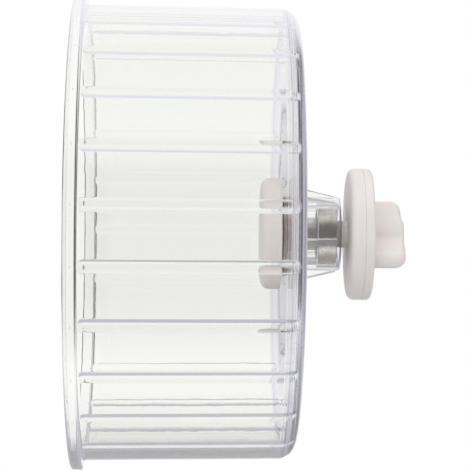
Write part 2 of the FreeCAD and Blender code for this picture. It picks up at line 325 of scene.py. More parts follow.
# Surface of a plastic moulding: broad shade drift, fine grain from the mould, and sparse hair scratches.
moulded_skin, skin_in, skin_out = new_group(
    "moulded_skin", {"Drift": 45.0, "Grain": 2600.0}, ["Drift", "Grain", "Scratch"])
position = add_node(moulded_skin, "TexCoord").outputs["Object"]
drift = add_node(moulded_skin, "TexNoise", {"Vector": position, "Scale": skin_in["Drift"], "Detail": 3.0})
grain = add_node(moulded_skin, "TexNoise", {"Vector": position, "Scale": skin_in["Grain"], "Detail": 2.0})
stretched = add_node(moulded_skin, "Mapping",
                     {"Vector": position, "Rotation": SCRATCH_TURN, "Scale": SCRATCH_STRETCH})
scratch = add_node(moulded_skin, "TexNoise", {"Vector": stretched.outputs[0], "Scale": 1.0, "Detail": 1.0})
moulded_skin.links.new(drift.outputs[0], skin_out["Drift"])
moulded_skin.links.new(grain.outputs[0], skin_out["Grain"])
moulded_skin.links.new(spread(moulded_skin, scratch.outputs[0], *SCRATCH_LEVELS), skin_out["Scratch"])

white_plastic, tree, shader = new_material("warm_white_plastic")
skin = place_group(tree, moulded_skin)
tint = blend_colours(tree, spread(tree, skin["Drift"], *WHITE_DRIFT), WHITE_PLASTIC, WHITE_PLASTIC_SHADE)
tree.links.new(tint, shader["Base Color"])
tree.links.new(spread(tree, skin["Grain"], *WHITE_SATIN), shader["Roughness"])
bump = add_node(tree, "Bump", {"Height": skin["Grain"], "Strength": 0.25, "Distance": 2e-5})
tree.links.new(bump.outputs[0], shader["Normal"])
shader["IOR"].default_value = 1.5

# The cap is one grid. Each sixth of a turn has a bundle of columns beside its rib, at set distances from the rib's
# middle, and even columns between. In a rib's columns the rows of the hollow leave the U-shaped section and run
# straight from boss to wall at the rib's top.
cap_outline = rounded_outline([
    (BOLT_HOLE, CAP_SEAT, 0.15, 2), (CAP_STUB, CAP_SEAT, 0.15, 3), (CAP_STUB, CAP_BACK, 0.1, 2),
    (CAP_BOSS, CAP_BACK, 0.2, 3), (CAP_BOSS, CAP_FLOOR, 0.5, 4), (CAP_INSIDE, CAP_FLOOR, 1.2, 5),
    (CAP_INSIDE, CAP_BACK, 0.2, 3), (CAP_RADIUS, CAP_BACK, 0.3, 4), (CAP_RADIUS, CAP_FRONT, 3.5, 14),
    (COVER_RADIUS, CAP_FRONT, 0.25, 4), (COVER_RADIUS, COVER_SEAT, 0.1, 2), (HEAD_POCKET, COVER_SEAT, 0.15, 3),
    (HEAD_POCKET, BOLT_HEAD_SEAT, 0.1, 2), (BOLT_HOLE, BOLT_HEAD_SEAT, 0.1, 2),
])
cap_radius, cap_y = cap_outline[:, :1], cap_outline[:, 1:]
rib_distance = np.array(CAP_RIB_COLUMNS)
bundle = np.concatenate([-rib_distance[:0:-1], rib_distance])
sector = 2 * np.pi / CAP_RIBS
beside = np.arcsin(bundle / cap_radius)
edge = beside[:, -1:]
between = edge + (sector - 2 * edge) * np.arange(1, CAP_GAP_COLUMNS) / CAP_GAP_COLUMNS
cap_angle = np.hstack([np.hstack([beside, between]) + sector * rib for rib in range(CAP_RIBS)])
in_rib = np.zeros(len(bundle) + between.shape[1])
in_rib[:len(bundle)] = np.clip((CAP_RIB_HALF + CAP_RIB_FLANK - np.abs(bundle)) / CAP_RIB_FLANK, 0, 1)
in_rib = np.tile(in_rib, CAP_RIBS)
hollow = (cap_y[:, 0] < CAP_RIB_TOP) & (cap_y[:, 0] > CAP_FLOOR - SLACK)
hollow &= (cap_radius[:, 0] > CAP_BOSS - SLACK) & (cap_radius[:, 0] < CAP_INSIDE + SLACK)
rib_radius = np.linspace(CAP_BOSS, CAP_INSIDE, hollow.sum())[:, None]
ribbed_radius = np.repeat(cap_radius, cap_angle.shape[1], 1)
ribbed_y = np.repeat(cap_y, cap_angle.shape[1], 1)
ribbed_radius[hollow] += (rib_radius - cap_radius[hollow]) * in_rib
ribbed_y[hollow] += (CAP_RIB_TOP - cap_y[hollow]) * in_rib
hub_cap = add_piece("hub_cap_moulding", [shell_of(about_axle(ribbed_radius, ribbed_y, cap_angle))], white_plastic)
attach(hub_cap, "axle")
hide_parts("hub_cap")

# HUB CAP COVER
# A round push-in plug of the same plastic that hides the bolt head, flush with the cap but for a fine seam.
# Slightly crowned, pressed into the cap's recess.
COVER_COLUMNS = 120
COVER_CROWN = 0.12
COVER_FLAT = 8.6
COVER_EDGE = COVER_RADIUS - 0.12
cover_reach = np.linspace(0, 1, 9)[1:-1]
cover_top = np.stack([COVER_FLAT * cover_reach, CAP_FRONT + COVER_CROWN * cover_reach ** 2], -1)
cover_rim = rounded_outline([
    (0.0, CAP_FRONT, 0.0, 1), (COVER_EDGE, CAP_FRONT + COVER_CROWN, 0.3, 5),
    (COVER_EDGE, COVER_SEAT, 0.15, 3), (0.0, COVER_SEAT, 0.0, 1),
])
cover_outline = np.vstack([cover_rim[:1], cover_top, cover_rim[2:]])
cap_cover = add_piece("hub_cap_cover_plug", [turned(cover_outline, COVER_COLUMNS)], white_plastic)
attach(cap_cover, "axle")
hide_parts("hub_cap_cover")

# BALL BEARINGS
# Two shielded 8 x 22 x 7 ball bearings: ground rings, seven balls in a cage, and a pressed shield on each side.
# The outer rings are pressed into the hub and the inner rings are clamped on the bolt.
BEARING_STEEL = (0.70, 0.665, 0.63)
BEARING_STEEL_DULL = (0.555, 0.52, 0.49)
SHIELD_STEEL = (0.45, 0.435, 0.42)
SHIELD_STEEL_DULL = (0.35, 0.335, 0.325)
# A darker, browner copy of the bearing steel for the front bearing's outer ring: painted shade for the shade it sits
# in behind the hub cap.
PAINTED_SHADE_STEEL = (0.525, 0.445, 0.415)
PAINTED_SHADE_STEEL_DULL = (0.40, 0.34, 0.31)
BEARING_RADIUS = 11.0
BEARING_WIDTH = 7.0
BEARING_FRONTS = {"front": -29.6, "rear": -16.6}
SPACE_FRONT = BEARING_FRONTS["front"] + BEARING_WIDTH
SPACE_REAR = BEARING_FRONTS["rear"]
OUTER_LAND = 9.1
OUTER_GROOVE = 9.56
INNER_LAND = 6.0
INNER_GROOVE = 5.45
GROOVE_HALF = 1.2
GROOVE_FLOOR = 0.5
SHIELD_SEAT = 9.6
SHIELD_SEAT_DEPTH = 0.85
SHIELD_INSET = 0.5
SHIELD_BORE = 6.15
SHIELD_BEND = (9.0, 9.25)
SHIELD_RAISED = 0.1
SHIELD_SUNK = 0.02
SHIELD_BACK = (0.33, 0.35)
RING_COLUMNS = 120
BALL_ROWS = 15
BALL_COLUMNS = 28
BALL_RADIUS = 1.985
BALL_PITCH = 7.5
BALLS = 7
bearing_steel = metal_finish("ground_bearing_steel", BEARING_STEEL, BEARING_STEEL_DULL,
                             roughness=(0.26, 0.4), fineness=8200.0, depth=6e-6)
painted_shade_steel = metal_finish("painted_shade_bearing_steel", PAINTED_SHADE_STEEL, PAINTED_SHADE_STEEL_DULL,
                             roughness=(0.34, 0.5), fineness=8200.0, depth=6e-6)
shield_steel = metal_finish("pressed_shield_steel", SHIELD_STEEL, SHIELD_STEEL_DULL,
                            roughness=(0.2, 0.34), fineness=4200.0, depth=1e-5)
# The front outer ring takes the painted-shade copy of the steel, and the rear one the plain steel.
RING_FINISH = {"front": painted_shade_steel, "rear": bearing_steel}


def ball_shell(centre_y, angle):
    """One ball: a grid of latitude circles about the axle direction, closed at its two poles."""
    latitude = np.linspace(-np.pi / 2, np.pi / 2, BALL_ROWS)[1:-1, None]
    centre = about_axle(BALL_PITCH, centre_y, angle)
    ring = about_axle(BALL_RADIUS * np.cos(latitude), BALL_RADIUS * np.sin(latitude), around(BALL_COLUMNS))
    poles = np.array([[0, -BALL_RADIUS, 0], [0, BALL_RADIUS, 0]])
    return shell_of(centre + ring, centre + poles)


for place, front in BEARING_FRONTS.items():
    rear = front + BEARING_WIDTH
    middle = front + BEARING_WIDTH / 2
    outer_ring = turned(rounded_outline([
        (BEARING_RADIUS, front, 0.3, 5), (BEARING_RADIUS, rear, 0.3, 5), (SHIELD_SEAT, rear, 0.12, 3),
        (SHIELD_SEAT, rear - SHIELD_SEAT_DEPTH, 0.04, 2), (OUTER_LAND, rear - SHIELD_SEAT_DEPTH, 0.06, 2),
        (OUTER_LAND, middle + GROOVE_HALF, 0.05, 2), (OUTER_GROOVE, middle + GROOVE_FLOOR, 0.5, 4),
        (OUTER_GROOVE, middle - GROOVE_FLOOR, 0.5, 4), (OUTER_LAND, middle - GROOVE_HALF, 0.05, 2),
        (OUTER_LAND, front + SHIELD_SEAT_DEPTH, 0.06, 2), (SHIELD_SEAT, front + SHIELD_SEAT_DEPTH, 0.04, 2),
        (SHIELD_SEAT, front, 0.12, 3),
    ]))
    inner_ring = turned(rounded_outline([
        (BOLT_RADIUS, front, 0.2, 3), (INNER_LAND, front, 0.3, 4), (INNER_LAND, middle - GROOVE_HALF, 0.05, 2),
        (INNER_GROOVE, middle - GROOVE_FLOOR, 0.5, 4), (INNER_GROOVE, middle + GROOVE_FLOOR, 0.5, 4),
        (INNER_LAND, middle + GROOVE_HALF, 0.05, 2), (INNER_LAND, rear, 0.3, 4), (BOLT_RADIUS, rear, 0.2, 3),
    ]), RING_COLUMNS)
    shields = []
    for outside, inwards in ((front + SHIELD_INSET, 1), (rear - SHIELD_INSET, -1)):
        sunk, raised = outside + SHIELD_SUNK * inwards, outside - SHIELD_RAISED * inwards
        seat_back, bore_back = (outside + back * inwards for back in SHIELD_BACK)
        shields.append(turned(rounded_outline([
            (SHIELD_BORE, sunk, 0.05, 2), (SHIELD_BEND[0], sunk, 0.2, 3), (SHIELD_BEND[1], raised, 0.1, 3),
            (SHIELD_SEAT, raised, 0.1, 3), (SHIELD_SEAT, seat_back, 0.06, 2), (SHIELD_BORE, bore_back, 0.05, 2),
        ]), RING_COLUMNS))
    balls = [ball_shell(middle, angle) for angle in around(BALLS)]
    for piece_name, shells, finish, body in (
        ("outer_ring", [outer_ring], RING_FINISH[place], "wheel"),
        ("inner_ring", [inner_ring], bearing_steel, "axle"),
        ("shields", shields, shield_steel, "wheel"),
        ("balls", balls, bearing_steel, place + "_ball_set"),
    ):
        piece = add_piece(f"{place}_bearing_{piece_name}_ground", shells, finish)
        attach(piece, body)
        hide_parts(f"{place}_bearing_{piece_name}")
    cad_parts[f"{place}_bearing_cage"].data.materials.clear()
    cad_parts[f"{place}_bearing_cage"].data.materials.append(shield_steel)

# DRUM
# One clear polystyrene moulding: rolled lip, drafted barrel with shallow round rungs inside, closed back with a soft
# corner, and a finned hub that holds both bearings.
DRUM_MOUTH = -106.0
DRUM_RADIUS = 83.8
DRUM_WALL = 2.7
DRUM_DRAFT = np.tan(np.radians(0.69))
DRUM_LONGEST_RUN = 11.0
LIP_RADIUS = 87.3
LIP_BACK = -101.5
LIP_ROUND = 1.2
BACK_OUTER = -24.45
BACK_OUTER_ROUND = 6.5
BACK_INNER = -26.9
BACK_INNER_ROUND = 2.8
BACK_PLAIN = 20.6
BOSS_FRONT = -29.4
HUB_RADIUS = 13.7
HUB_REACH = 16.0
HUB_END = -8.1
HUB_WEB = 9.4
RUNGS = 25
RUNG_TURN = np.radians(8.0)
RUNG_HALF = 2.4
RUNG_ROD = 3.65
RUNG_SUNK = 2.75
RUNG_SOFTNESS = 0.12
RUNG_END_STEPS = (2, 18, 34, 48, 60, 70, 78, 84, 90)
RUNG_COLUMNS = (0.0, 0.45, 0.9, 1.35, 1.75, 2.05, 2.24, 2.36, 2.46, 2.7)
RUNG_GAP_COLUMNS = 6
RUNG_RADIUS = 80.6
RUNG_INNERMOST = 60.0
RUNG_MOUTH_GAP = 1.0
FINS = 6
FIN_TURN = np.radians(12.1)
FIN_HALF = 1.2
FIN_DRAFT = 0.1
FIN_FOOT = 18.1
FIN_TIP = 14.4
FIN_END = -9.7
FIN_COLUMNS = (0.55, 1.0, 1.1, 1.112, 1.188, 1.2, 1.4)
COLUMN_GAP = np.radians(0.06)
CLEAR_TINT = (0.982, 0.987, 0.957)
CLEAR_TINT_DEEP = (0.96, 0.965, 0.935)
# Deeper lavender: painted shade along the back's corner and on the hub's end.
CLEAR_TINT_PAINTED_SHADE = (0.81, 0.805, 0.875)
CLEAR_ABSORPTION = (0.80, 0.81, 1.0)
CLEAR_TRAPPED_LOW = (0.57, 0.562, 0.62)
CLEAR_TRAPPED_HIGH = (0.81, 0.805, 0.845)
CLEAR_TRAPPED_CORNER = (0.26, 0.258, 0.28)
CLEAR_TRAPPED_BACK = (0.17, 0.17, 0.185)
CLEAR_SHADOW = (0.96, 0.96, 0.96)
CLEAR_POLISH = (0.35, 0.75, 0.0, 0.03)
CORNER_REACH = (0.068, 0.075)
CORNER_START = (-0.0309, -0.0297)
CORNER_STREAKS = (0.36, 0.56)
CORNER_TOP = (0.057, 0.068, 1.0, 0.0)
HUB_RIM = (-0.0099, -0.0093)
RIPPLE_START = (-0.0315, -0.0305)
RIPPLE_RISE = (-0.0299, -0.0293, 1.0, 4.0)
RIPPLE_FALL = (-0.0283, -0.0276, 1.0, 0.25)
FIN_EDGE = (-3e-4, -1e-4)
FIN_EDGE_END = (0.0181, 0.0183, 1.0, 0.0)
FIN_EDGE_MATT = 0.4
TRAPPED_BOUNCES = (3.5, 7.5)
TRAPPED_MIRRORINGS = (0.6, 3.2)
TRAPPED_HEIGHT = (-0.085, 0.07)
TRAPPED_BACK_START = (0.018, 0.022)
TRAPPED_BACK_END = (0.060, 0.067, 1.0, 0.0)


def barrel(y):
    """Outside radius of the drafted barrel at a station."""
    return DRUM_RADIUS - (y - DRUM_MOUTH) * DRUM_DRAFT


def fill_runs(outline, longest):
    """The same outline with even points added on every stretch that is longer than the given length."""
    step = np.roll(outline, -1, 0) - outline
    pieces = np.ceil(np.linalg.norm(step, axis=1) / longest).astype(int).clip(1)
    index = np.repeat(np.arange(len(outline)), pieces)
    share = (np.arange(len(index)) - np.repeat(np.cumsum(pieces) - pieces, pieces)) / pieces[index]
    return outline[index] + share[:, None] * step[index]


def soft_least(first, second, width):
    """The lesser of two heights, with the crease between them eased over a width."""
    near = np.clip(1 - np.abs(first - second) / width, 0, 1)
    return np.minimum(first, second) - near ** 2 * width / 4


def nearest(angle, start, pitch):
    """Angle from the nearest of the marks that stand at a start and at every pitch from it."""
    return (angle - start + pitch / 2) % pitch - pitch / 2


def combine(tree, operation, first, second, **settings):
    """One value made from two by the named operation."""
    return add_node(tree, "Math", {0: first, 1: second}, operation=operation, **settings).outputs[0]


rung_start = LIP_BACK + RUNG_HALF
rung_end_y = rung_start - RUNG_HALF * np.sin(np.radians(RUNG_END_STEPS))
drum_corners = [
    (LIP_RADIUS, DRUM_MOUTH, LIP_ROUND, 5), (LIP_RADIUS, LIP_BACK, LIP_ROUND, 5),
    (barrel(LIP_BACK), LIP_BACK, 0.8, 4), (barrel(BACK_OUTER), BACK_OUTER, BACK_OUTER_ROUND, 13),
    (BACK_PLAIN, BACK_OUTER, 0, 1),
    (HUB_RADIUS, BACK_OUTER, 1.0, 4), (HUB_RADIUS, FIN_END - 0.3, 0, 1), (HUB_RADIUS, FIN_END - 0.06, 0, 1),
    (HUB_RADIUS, FIN_END, 0, 1), (HUB_RADIUS, HUB_END, 1.0, 6), (BEARING_RADIUS, HUB_END, 0.6, 4),
    (BEARING_RADIUS, SPACE_REAR, 0.1, 2), (HUB_WEB, SPACE_REAR, 0.2, 3), (HUB_WEB, SPACE_FRONT, 0.2, 3),
    (BEARING_RADIUS, SPACE_FRONT, 0.1, 2), (BEARING_RADIUS, BOSS_FRONT, 0.2, 3), (HUB_RADIUS, BOSS_FRONT, 0.6, 4),
    (HUB_RADIUS, BACK_INNER, 0.3, 3), (barrel(BACK_INNER) - DRUM_WALL, BACK_INNER, BACK_INNER_ROUND, 9),
]
drum_corners += [(barrel(y) - DRUM_WALL, y, 0, 1) for y in rung_end_y]
drum_corners += [(barrel(DRUM_MOUTH) - DRUM_WALL, DRUM_MOUTH, LIP_ROUND, 6)]
drum_outline = fill_runs(rounded_outline(drum_corners), DRUM_LONGEST_RUN)
base_radius, base_y = drum_outline[:, :1], drum_outline[:, 1:]

# Columns: close together across each rung, sparse between rungs, and a bundle at the flanks of each fin.
rung_pitch = 2 * np.pi / RUNGS
rung_side = np.array(RUNG_COLUMNS) / RUNG_RADIUS
rung_gap = rung_side[-1] + (rung_pitch - 2 * rung_side[-1]) * np.arange(1, RUNG_GAP_COLUMNS) / RUNG_GAP_COLUMNS
one_rung = np.concatenate([-rung_side[:0:-1], rung_side, rung_gap])
rung_angles = (RUNG_TURN + np.arange(RUNGS)[:, None] * rung_pitch + one_rung).ravel() % (2 * np.pi)
fin_pitch = 2 * np.pi / FINS
fin_side = np.arcsin(np.array(FIN_COLUMNS) / HUB_RADIUS)
one_fin = np.concatenate([-fin_side[::-1], [0.0], fin_side])
fin_angles = (FIN_TURN + np.arange(FINS)[:, None] * fin_pitch + one_fin).ravel() % (2 * np.pi)
apart = np.abs(nearest(rung_angles[:, None], fin_angles, 2 * np.pi)).min(1)
drum_angle = np.sort(np.concatenate([rung_angles[apart > COLUMN_GAP], fin_angles]))

# Rungs: inside the barrel the radius is the soft least of the wall and of a round rod half sunk in it, whose
# section shrinks to nothing in the ball end at the mouth. Beside the rod its radius is set 1 mm further out, so that
# the wall is the lesser there.
from_rung = nearest(drum_angle, RUNG_TURN, rung_pitch)
rod_centre = barrel(base_y) - DRUM_WALL + RUNG_SUNK
rod_section = np.sqrt(np.clip(RUNG_ROD ** 2 - np.clip(rung_start - base_y, 0, RUNG_ROD) ** 2, 0, None))
rod_inside = rod_section ** 2 - (rod_centre * np.sin(from_rung)) ** 2
rod_radius = rod_centre * np.cos(from_rung) - np.sqrt(np.clip(rod_inside, 0, None)) + (rod_inside <= 0) * 1.0
before_back = base_y[:, 0] <= BACK_INNER + SLACK
innermost = np.argmin(np.where(before_back, base_radius[:, 0], np.inf))
inside_wall = (np.arange(len(base_y)) > innermost) & (base_y[:, 0] > DRUM_MOUTH + RUNG_MOUTH_GAP)
inside_wall &= base_radius[:, 0] > RUNG_INNERMOST
drum_radius = np.repeat(base_radius, len(drum_angle), 1)
drum_radius[inside_wall] = soft_least(drum_radius, rod_radius, RUNG_SOFTNESS)[inside_wall]

# Fins: the hub's rows move out along each fin's middle line, so that its flanks stay parallel but for a little draft.
from_fin = nearest(drum_angle, FIN_TURN, fin_pitch)
fin_share = np.clip((FIN_HALF - np.abs(HUB_RADIUS * np.sin(from_fin))) / FIN_DRAFT, 0, 1)
fin_height = FIN_FOOT + (base_y - BACK_OUTER) / (FIN_END - BACK_OUTER) * (FIN_TIP - FIN_FOOT) - HUB_RADIUS
on_hub = (base_y >= BACK_OUTER - SLACK) & (base_y < FIN_END - SLACK)
on_hub &= (base_radius < HUB_REACH) & (base_radius >= HUB_RADIUS - SLACK)
along = drum_radius * np.cos(from_fin) + fin_height * on_hub * fin_share
aside = drum_radius * np.sin(from_fin)
drum_grid = about_axle(np.hypot(along, aside), base_y, drum_angle - from_fin + np.arctan2(aside, along))

# Colour: nearly none, but a deeper lavender in streaks round the back's corner and on the hub's end, which is painted
# shade for the dark edge lines there.
clear_plastic, tree, shader = new_material("clear_polystyrene")
skin = place_group(tree, moulded_skin, Drift=55.0, Grain=700.0)
flow_rings = place_group(tree, lathe_marks, Fineness=900.0)["Lines"]
_, axes, from_axle = object_place(tree)
outwards = spread(tree, from_axle, *CORNER_REACH)
at_corner = combine(tree, "MULTIPLY", spread(tree, axes[1], *CORNER_START), outwards)
painted_shade_streaks = combine(tree, "MULTIPLY", at_corner, spread(tree, flow_rings, *CORNER_STREAKS))
painted_shade_streaks = combine(tree, "MAXIMUM", painted_shade_streaks, spread(tree, axes[1], *HUB_RIM))
tint = blend_colours(tree, skin["Scratch"], CLEAR_TINT, CLEAR_TINT_DEEP)
tree.links.new(blend_colours(tree, painted_shade_streaks, tint, CLEAR_TINT_PAINTED_SHADE), shader["Base Color"])

# Polish: glossy with a slight drift, and matt along the sloping edges of the fins.
fin_slope = (FIN_FOOT - FIN_TIP) / (FIN_END - BACK_OUTER)
fin_top = (FIN_FOOT + BACK_OUTER * fin_slope) * MM
fin_edge = add_node(tree, "Math", {0: axes[1], 1: fin_slope, 2: from_axle}, operation="MULTIPLY_ADD").outputs[0]
fin_edge = combine(tree, "MULTIPLY", spread(tree, fin_edge, *(fin_top + offset for offset in FIN_EDGE)),
                   spread(tree, from_axle, *FIN_EDGE_END))
polish = {0: fin_edge, 1: FIN_EDGE_MATT, 2: spread(tree, skin["Drift"], *CLEAR_POLISH)}
tree.links.new(add_node(tree, "Math", polish, operation="MULTIPLY_ADD").outputs[0], shader["Roughness"])

# Waves: a slow drift everywhere, and ripples round the back's corner. They stand four times as high in the narrow
# ring where the inside of the barrel begins to turn into the back.
near_corner = combine(tree, "MULTIPLY", spread(tree, axes[1], *RIPPLE_START), outwards)
ripples = combine(tree, "MULTIPLY", flow_rings, near_corner)
ripple_height = combine(tree, "MULTIPLY", spread(tree, axes[1], *RIPPLE_RISE), spread(tree, axes[1], *RIPPLE_FALL))
ripples = combine(tree, "MULTIPLY", ripples, ripple_height)
bump = add_node(tree, "Bump", {"Height": skin["Drift"], "Strength": 0.3, "Distance": 1e-4})
bump = add_node(tree, "Bump", {"Height": ripples, "Strength": 0.6, "Distance": 2e-4, "Normal": bump.outputs[0]})
tree.links.new(bump.outputs[0], shader["Normal"])
shader["IOR"].default_value = 1.58
shader["Transmission Weight"].default_value = 1.0
absorption = add_node(tree, "VolumeAbsorption", {"Color": (*CLEAR_ABSORPTION, 1.0), "Density": 12.0})
tree.links.new(absorption.outputs[0], tree.nodes["Material Output"].inputs["Volume"])

# Light: a ray that has bounced about inside the walls ends in an even glow, which is paler towards the top and dark
# in the flat back and along its corner. Light for shadows and for matt surfaces passes almost unhindered.
light_path = add_node(tree, "LightPath").outputs
trapped = combine(tree, "MAXIMUM", spread(tree, light_path["Ray Depth"], *TRAPPED_BOUNCES),
                  spread(tree, light_path["Glossy Depth"], *TRAPPED_MIRRORINGS))
tone = blend_colours(tree, spread(tree, axes[2], *TRAPPED_HEIGHT), CLEAR_TRAPPED_LOW, CLEAR_TRAPPED_HIGH)
in_back = combine(tree, "MULTIPLY", spread(tree, from_axle, *TRAPPED_BACK_START),
                  spread(tree, from_axle, *TRAPPED_BACK_END))
tone = blend_colours(tree, in_back, tone, CLEAR_TRAPPED_BACK)
dark_corner = combine(tree, "MULTIPLY", at_corner, spread(tree, axes[2], *CORNER_TOP))
tone = blend_colours(tree, dark_corner, tone, CLEAR_TRAPPED_CORNER)
glow = add_node(tree, "Emission", {"Color": tone, "Strength": 1.0}).outputs[0]
glass = tree.nodes["Principled BSDF"].outputs[0]
surface = add_node(tree, "MixShader", {0: trapped, 1: glass, 2: glow}).outputs[0]
passed = add_node(tree, "BsdfTransparent", {"Color": (*CLEAR_SHADOW, 1.0)}).outputs[0]
lighting = combine(tree, "ADD", light_path["Is Shadow Ray"], light_path["Diffuse Depth"], use_clamp=True)
surface = add_node(tree, "MixShader", {0: lighting, 1: surface, 2: passed}).outputs[0]
tree.links.new(surface, tree.nodes["Material Output"].inputs["Surface"])

drum = add_piece("drum_moulding", [shell_of(drum_grid)], clear_plastic)
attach(drum, "wheel")
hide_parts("drum")

# BEARING SPACER
# A plain turned steel sleeve between the two inner rings, so that tightening the bolt doesn't load the balls.
# It slides on the bolt.
SPACER_RADIUS = 6.0
SPACER_STEEL = (0.80, 0.79, 0.76)
SPACER_STEEL_DULL = (0.66, 0.65, 0.62)
turned_sleeve = metal_finish("turned_sleeve", SPACER_STEEL, SPACER_STEEL_DULL,
                             roughness=(0.42, 0.58), fineness=4200.0, depth=2e-5)
spacer = add_piece("bearing_spacer_sleeve", [turned(rounded_outline([
    (BOLT_RADIUS, SPACE_FRONT, 0.1, 2), (SPACER_RADIUS, SPACE_FRONT, 0.2, 3),
    (SPACER_RADIUS, SPACE_REAR, 0.2, 3), (BOLT_RADIUS, SPACE_REAR, 0.1, 2),
]), BOLT_COLUMNS)], turned_sleeve)
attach(spacer, "axle")
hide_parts("bearing_spacer")

# CLAMP DISC
# A thick white disc with a collar that spaces it from the rear bearing; it bears on the cage wall from inside.
# Moulded in one with the hexagon pocket for the lock nut.
DISC_COLUMNS = 240
DISC_RADIUS = 24.3
DISC_BACK = -5.2
DISC_BACK_PLAIN = 15.0
DISC_SEAM = 0.22
DISC_PLAIN = 14.0
COLLAR_RADIUS = 5.0
COLLAR_END = -9.6
NUT_BACK = -4.2
NUT_FRONT = -0.2
NUT_FLAT = 6.5
POCKET_FLAT = 6.6
POCKET_ROUND = 9.0
POCKET_BAND = 0.8
disc_angle = around(DISC_COLUMNS)
disc_outline = rounded_outline([
    (BOLT_HOLE, COLLAR_END, 0.2, 3), (COLLAR_RADIUS, COLLAR_END, 0.35, 4), (COLLAR_RADIUS, DISC_BACK, 0.5, 4),
    (DISC_BACK_PLAIN, DISC_BACK, 0, 1), (DISC_RADIUS, DISC_BACK, 3.2, 12), (DISC_RADIUS, 0.0, DISC_SEAM, 5),
    (DISC_PLAIN, 0.0, 0, 1), (POCKET_ROUND, 0.0, 0.25, 4), (POCKET_ROUND, NUT_BACK, 0.1, 2),
    (BOLT_HOLE, NUT_BACK, 0.1, 2),
])
disc_radius = np.repeat(disc_outline[:, :1], DISC_COLUMNS, 1)
in_pocket = (np.abs(disc_outline[:, 0] - POCKET_ROUND) < POCKET_BAND) & (disc_outline[:, 1] > NUT_BACK - SLACK)
disc_radius[in_pocket] += hexagon_radius(POCKET_FLAT, disc_angle) - POCKET_ROUND
clamp_disc = add_piece("clamp_disc_moulding", [shell_of(about_axle(disc_radius, disc_outline[:, 1:], disc_angle))],
                       white_plastic)
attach(clamp_disc, "axle")
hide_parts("clamp_disc")

# LOCK NUT
# A thin zinc-plated hexagon nut sunk in the clamp disc, which holds the stack together when the knob is off.
# Its corners are chamfered on the outer face.
NUT_BORE = BOLT_RADIUS + 0.02
nut_angle = around(BOLT_COLUMNS)
nut_hexagon = hexagon_radius(NUT_FLAT, nut_angle)
nut_rows = [
    (np.full(BOLT_COLUMNS, NUT_BORE), NUT_BACK + 0.1), (np.full(BOLT_COLUMNS, 4.3), NUT_BACK),
    (np.minimum(nut_hexagon, 7.3), NUT_BACK), (nut_hexagon, NUT_BACK + 0.25), (nut_hexagon, NUT_FRONT - 0.6),
    (np.minimum(nut_hexagon, 6.9), NUT_FRONT - 0.25), (np.minimum(nut_hexagon, 6.3), NUT_FRONT),
    (np.full(BOLT_COLUMNS, 4.5), NUT_FRONT), (np.full(BOLT_COLUMNS, NUT_BORE), NUT_FRONT - 0.4),
]
nut_radius = np.vstack([radius for radius, _ in nut_rows])
nut_y = np.array([y for _, y in nut_rows])[:, None]
lock_nut = add_piece("lock_nut_hexagon", [shell_of(about_axle(nut_radius, nut_y, nut_angle))], zinc_plate)
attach(lock_nut, "axle")
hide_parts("lock_nut")

# OUTER CLAMP PLATE
# A white disc that slides on the bolt and bears on the cage wall from outside.
# Moulded, with a soft rim on the side where the knob presses.
PLATE_BORE = 4.2
PLATE_END = 3.4
PLATE_ROUND = 2.5
clamp_plate = add_piece("outer_clamp_plate_moulding", [turned(rounded_outline([
    (PLATE_BORE, 0.0, 0.2, 3), (DISC_PLAIN, 0.0, 0, 1), (DISC_RADIUS, 0.0, DISC_SEAM, 5),
    (DISC_RADIUS, PLATE_END, PLATE_ROUND, 11), (DISC_PLAIN, PLATE_END, 0, 1), (PLATE_BORE, PLATE_END, 0.2, 3),
]), DISC_COLUMNS)], white_plastic)
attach(clamp_plate, "clamp_plate")
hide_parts("outer_clamp_plate")

# WING KNOB
# A white two-winged knob with a round boss, moulded round a brass insert; it screws on the bolt to close the clamp.
# Its outer edge is softly rounded, and its only hollow is the bore from its base.
KNOB_END = 15.6
KNOB_BOSS = 7.0
KNOB_ROUND = 3.0
KNOB_WAIST = 9.0
KNOB_BASE_MOUTH = 5.8
KNOB_TOP_SHARES = (0.3, 0.6, 0.85, 0.97)
WING_REACH = 18.0
WING_HALF = 3.3
WING_TURN = np.radians(38.0)
WING_ROOT = 1.6
WING_CORNER = 4.5
INSERT_RADIUS = 5.5
INSERT_END = 11.4
BOLT_SPACE = 4.3
BOLT_SPACE_END = 14.0


def knob_plan(inset):
    """Plan outline of the knob, drawn in by an inset: for a quarter, the arc of the wing's tip, its straight flank,
    the hollow arc at its root and the arc of the boss; then the quarter mirrored and turned for the rest."""
    half, boss, root = WING_HALF - inset, KNOB_BOSS - inset, WING_ROOT + inset
    tip = WING_REACH - WING_HALF
    root_across = WING_HALF + WING_ROOT
    root_along = np.sqrt((KNOB_BOSS + WING_ROOT) ** 2 - root_across ** 2)
    boss_start = np.arctan2(root_across, root_along)
    tip_turn = np.linspace(0, np.pi / 2, 11)
    flank = np.linspace(tip, root_along, 7)[1:-1]
    root_turn = np.linspace(-np.pi / 2, boss_start - np.pi, 9)
    boss_turn = np.linspace(boss_start, np.pi / 2, 9)[1:]
    quarter = np.vstack([
        np.stack([tip + half * np.cos(tip_turn), half * np.sin(tip_turn)], -1),
        np.stack([flank, np.full_like(flank, half)], -1),
        np.stack([root_along + root * np.cos(root_turn), root_across + root * np.sin(root_turn)], -1),
        np.stack([boss * np.cos(boss_turn), boss * np.sin(boss_turn)], -1),
    ])
    upper = np.vstack([quarter, (quarter * [-1, 1])[-2:0:-1]])
    return np.vstack([upper, -upper])


